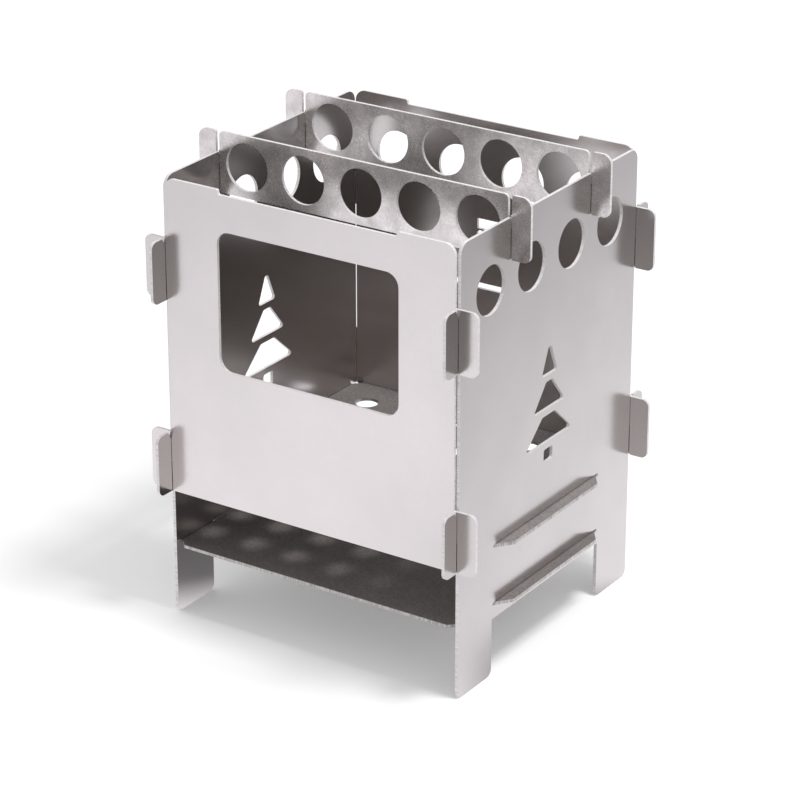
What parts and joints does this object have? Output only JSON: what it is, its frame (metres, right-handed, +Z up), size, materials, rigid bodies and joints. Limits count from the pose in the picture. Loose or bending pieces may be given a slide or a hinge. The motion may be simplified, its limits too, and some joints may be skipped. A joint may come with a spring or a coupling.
{
  "type": "hobo stove",
  "caption": "Small square wood-burning stove of flat steel plates that plug together at ears, with a feeding window, air holes, grate, ash plate and notched pot bars.",
  "frame": {"origin": "on the ground under the middle of the stove", "axes": "+X to the right along the front, +Y from the front to the back, +Z up"},
  "size_m": [0.115, 0.112, 0.1475],
  "materials": {
    "satin_steel": "satin, fine laser-cut edges",
    "pickled_steel": "dull, faintly speckled"
  },
  "bodies": {
    "fire_box": {"left_plate": "satin_steel", "right_plate": "satin_steel", "fire_grate": "satin_steel", "ash_plate": "satin_steel"},
    "front_plate": {"front_plate": "satin_steel"},
    "back_plate": {"back_plate": "satin_steel"},
    "front_pot_bar": {"front_pot_bar": "pickled_steel"},
    "rear_pot_bar": {"rear_pot_bar": "pickled_steel"}
  },
  "joints": [
    {"name": "front_plate_lift", "type": "slide", "parent": "fire_box", "child": "front_plate", "axis": [0, 0, 1], "range_m": [0, 0.02]},
    {"name": "back_plate_lift", "type": "slide", "parent": "fire_box", "child": "back_plate", "axis": [0, 0, 1], "range_m": [0, 0.02]},
    {"name": "front_pot_bar_lift", "type": "slide", "parent": "fire_box", "child": "front_pot_bar", "axis": [0, 0, 1], "range_m": [0, 0.025]},
    {"name": "rear_pot_bar_lift", "type": "slide", "parent": "fire_box", "child": "rear_pot_bar", "axis": [0, 0, 1], "range_m": [0, 0.025]}
  ]
}
